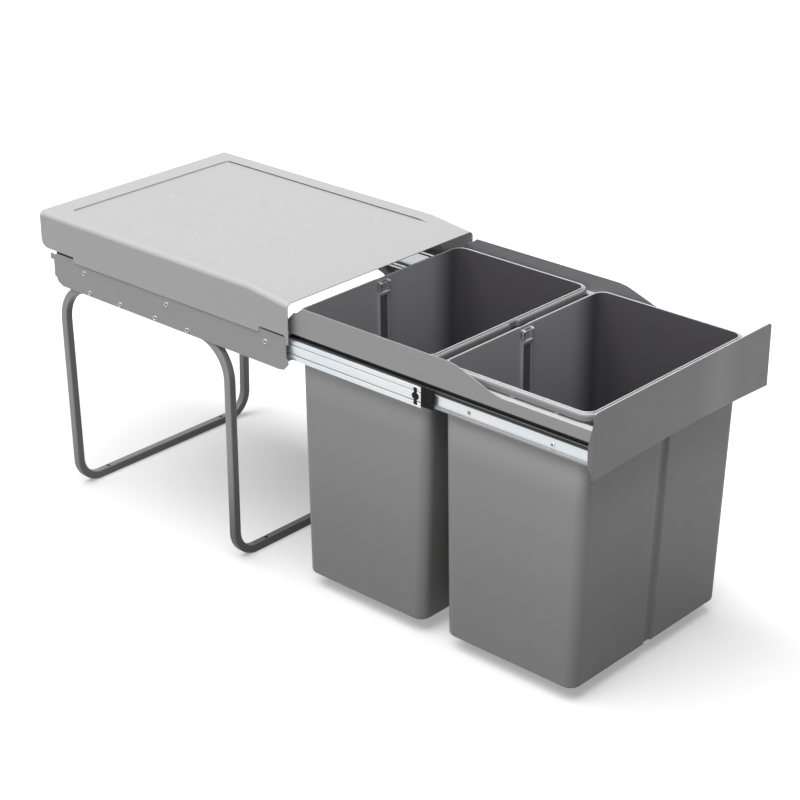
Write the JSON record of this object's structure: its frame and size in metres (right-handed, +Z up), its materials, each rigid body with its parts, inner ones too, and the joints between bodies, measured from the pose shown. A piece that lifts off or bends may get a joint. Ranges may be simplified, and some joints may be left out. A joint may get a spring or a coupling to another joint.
{
  "type": "pull out bin frame",
  "caption": "Floor mounted pull-out waste frame for a kitchen cabinet: steel cover and legs, ball slides, drawer with lift-out bins.",
  "frame": {"origin": "centre of the four floor screw holes, on the cabinet floor under the leg loops", "axes": "+X across the unit, -Y out of the cabinet toward the front panel, +Z up"},
  "size_m": [0.3402, 0.9135, 0.397],
  "materials": {
    "cover_enamel": "smooth semi-gloss light grey powder coat",
    "plate_enamel": "smooth semi-gloss grey powder coat",
    "leg_enamel": "satin grey powder coat",
    "panel_enamel": "satin grey powder coat",
    "drawer_enamel": "satin grey powder coat",
    "zinc": "zinc plated, satin",
    "ball_steel": "polished",
    "black_plastic": "fine matt",
    "bumper_rubber": "matt",
    "bin_plastic": "fine moulded grain, satin"
  },
  "bodies": {
    "frame": {"front_leg_loop": "leg_enamel", "left_outer_rail": "zinc", "left_plate_rivets": "zinc", "left_rear_bumper": "bumper_rubber", "left_side_plate": "plate_enamel", "rear_leg_loop": "leg_enamel", "right_outer_rail": "zinc", "right_plate_rivets": "zinc", "right_rear_bumper": "bumper_rubber", "right_side_plate": "plate_enamel", "top_cover": "cover_enamel"},
    "drawer": {"front_cross_bar": "panel_enamel", "front_panel": "panel_enamel", "left_bin_ledge": "drawer_enamel", "left_bracket_rivets": "zinc", "left_drawer_side": "drawer_enamel", "left_front_bracket": "drawer_enamel", "left_inner_rail": "zinc", "left_rail_screws": "zinc", "middle_cross_bar": "panel_enamel", "rear_cross_bar": "panel_enamel", "right_bin_ledge": "drawer_enamel", "right_bracket_rivets": "zinc", "right_drawer_side": "drawer_enamel", "right_front_bracket": "drawer_enamel", "right_inner_rail": "zinc", "right_rail_screws": "zinc"},
    "rear_bin": {"rear_bin": "bin_plastic"},
    "front_bin": {"front_bin": "bin_plastic"},
    "left_middle": {"left_middle_rail": "zinc", "left_middle_clip": "black_plastic"},
    "left_outer_cage": {"left_outer_cage": "zinc", "left_outer_balls": "ball_steel"},
    "left_inner_cage": {"left_inner_cage": "zinc", "left_inner_balls": "ball_steel"},
    "right_middle": {"right_middle_rail": "zinc", "right_middle_clip": "black_plastic"},
    "right_outer_cage": {"right_outer_cage": "zinc", "right_outer_balls": "ball_steel"},
    "right_inner_cage": {"right_inner_cage": "zinc", "right_inner_balls": "ball_steel"}
  },
  "joints": [
    {"name": "drawer_slide", "type": "slide", "parent": "frame", "child": "drawer", "axis": [0, 1, 0], "range_m": [0, 0.445]},
    {"name": "left_middle_slide", "type": "slide", "parent": "frame", "child": "left_middle", "axis": [0, 1, 0], "range_m": [0, 0.2225]},
    {"name": "left_outer_cage_slide", "type": "slide", "parent": "frame", "child": "left_outer_cage", "axis": [0, 1, 0], "range_m": [0, 0.11125]},
    {"name": "left_inner_cage_slide", "type": "slide", "parent": "frame", "child": "left_inner_cage", "axis": [0, 1, 0], "range_m": [0, 0.33375]},
    {"name": "right_middle_slide", "type": "slide", "parent": "frame", "child": "right_middle", "axis": [0, 1, 0], "range_m": [0, 0.2225]},
    {"name": "right_outer_cage_slide", "type": "slide", "parent": "frame", "child": "right_outer_cage", "axis": [0, 1, 0], "range_m": [0, 0.11125]},
    {"name": "right_inner_cage_slide", "type": "slide", "parent": "frame", "child": "right_inner_cage", "axis": [0, 1, 0], "range_m": [0, 0.33375]},
    {"name": "rear_bin_lift", "type": "slide", "parent": "drawer", "child": "rear_bin", "axis": [0, 0, 1], "range_m": [0, 0.012]},
    {"name": "front_bin_lift", "type": "slide", "parent": "drawer", "child": "front_bin", "axis": [0, 0, 1], "range_m": [0, 0.4]}
  ],
  "couplings": [
    {"joint": "left_middle_slide", "follows": "drawer_slide", "ratio": 0.5},
    {"joint": "left_outer_cage_slide", "follows": "drawer_slide", "ratio": 0.25},
    {"joint": "left_inner_cage_slide", "follows": "drawer_slide", "ratio": 0.75},
    {"joint": "right_middle_slide", "follows": "drawer_slide", "ratio": 0.5},
    {"joint": "right_outer_cage_slide", "follows": "drawer_slide", "ratio": 0.25},
    {"joint": "right_inner_cage_slide", "follows": "drawer_slide", "ratio": 0.75}
  ]
}
